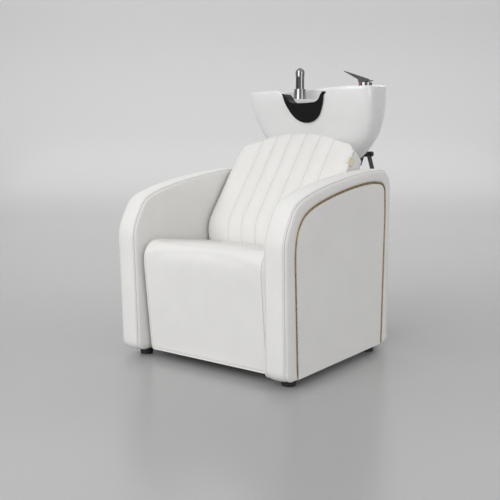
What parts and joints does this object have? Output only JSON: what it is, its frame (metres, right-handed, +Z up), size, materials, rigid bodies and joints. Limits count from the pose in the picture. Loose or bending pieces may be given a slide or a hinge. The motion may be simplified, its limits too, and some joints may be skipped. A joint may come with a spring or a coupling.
{
  "type": "backwash unit",
  "caption": "Salon backwash armchair, white upholstery with brass-edged side panels, channelled reclined back, tilting ceramic shampoo bowl with neck rest, mixer and hand shower",
  "frame": {"origin": "on the floor, in the middle of the overall box", "axes": "+Z up, the sitter faces -Y, +X is the sitter's left"},
  "size_m": [0.7, 0.9661, 1.053],
  "materials": {
    "white_upholstery": "smooth white synthetic leather, satin",
    "brass_strip": "satin brass",
    "birch_ply": "bare birch ply",
    "white_panel": "white synthetic leather over board",
    "black_plastic": "moulded black",
    "zinc_steel": "zinc plated",
    "black_steel": "black powder coat",
    "dark_chrome": "dark polished chrome",
    "chrome": "polished chrome",
    "brass_fitting": "machined brass",
    "copper_tail": "soft copper tube",
    "white_ceramic": "glossy white glaze",
    "black_rubber": "matte black",
    "white_plastic": "moulded white",
    "red_mark": "red",
    "grey_plastic": "moulded grey",
    "cream_ribbon": "plain woven ribbon"
  },
  "bodies": {
    "chair": {"left_arm_cover": "white_upholstery", "right_arm_cover": "white_upholstery", "left_side_panel": "white_upholstery", "right_side_panel": "white_upholstery", "seat_cushion": "white_upholstery", "back_cushion": "white_upholstery", "left_trim_strip": "brass_strip", "right_trim_strip": "brass_strip", "left_arm_board": "birch_ply", "right_arm_board": "birch_ply", "left_side_rail": "birch_ply", "right_side_rail": "birch_ply", "seat_front_rail": "birch_ply", "seat_rear_rail": "birch_ply", "seat_deck": "birch_ply", "back_board": "birch_ply", "rear_panel": "white_panel", "left_front_foot": "black_plastic", "right_front_foot": "black_plastic", "left_rear_foot": "black_plastic", "right_rear_foot": "black_plastic", "end_plugs": "black_plastic", "rear_glides": "black_plastic", "arm_bolts": "zinc_steel", "foot_screws": "zinc_steel", "chassis_bolts": "zinc_steel", "tilt_pins": "zinc_steel", "tilt_nuts": "zinc_steel", "back_brackets": "zinc_steel", "left_chassis_rail": "black_steel", "right_chassis_rail": "black_steel", "stand_cross_tube": "black_steel", "left_post": "dark_chrome", "right_post": "dark_chrome", "side_label": "cream_ribbon"},
    "bowl_unit": {"bowl": "white_ceramic", "neck_rest": "black_rubber", "waste_flange": "chrome", "waste_seal": "black_rubber", "waste_nut": "white_plastic", "waste_tail": "white_plastic", "bowl_cradle": "black_steel", "bowl_pads": "black_rubber", "cradle_bolts": "zinc_steel", "tilt_bushes": "white_plastic", "tap_base_seals": "black_rubber", "tap_washers": "zinc_steel", "tap_back_nuts": "brass_fitting", "mixer_body": "chrome", "mixer_cartridge": "white_plastic", "mixer_inlet_tails": "copper_tail", "shower_holder": "chrome"},
    "mixer_head": {"mixer_cap": "chrome", "lever_pin": "chrome", "mixer_hot_mark": "red_mark"},
    "lever": {"mixer_lever": "chrome"},
    "hand_shower": {"shower_handle": "chrome", "shower_face": "grey_plastic"},
    "hair_catcher": {"hair_catcher": "chrome"}
  },
  "joints": [
    {"name": "bowl_tilt", "type": "hinge", "parent": "chair", "child": "bowl_unit", "pos_m": [0, 0.385, 0.705], "axis": [-1, 0, 0], "range_deg": [0, 14]},
    {"name": "mixer_turn", "type": "hinge", "parent": "bowl_unit", "child": "mixer_head", "pos_m": [0.15, 0.347, 0.97], "axis": [0, 0, 1], "range_deg": [-45, 45]},
    {"name": "lever_lift", "type": "hinge", "parent": "mixer_head", "child": "lever", "pos_m": [0.15, 0.347, 0.9855], "axis": [0, 1, 0], "range_deg": [0, 14]},
    {"name": "shower_lift", "type": "slide", "parent": "bowl_unit", "child": "hand_shower", "axis": [0, 0, 1], "range_m": [0, 0.13]},
    {"name": "catcher_lift", "type": "slide", "parent": "bowl_unit", "child": "hair_catcher", "axis": [0, 0, 1], "range_m": [0, 0.09]}
  ]
}
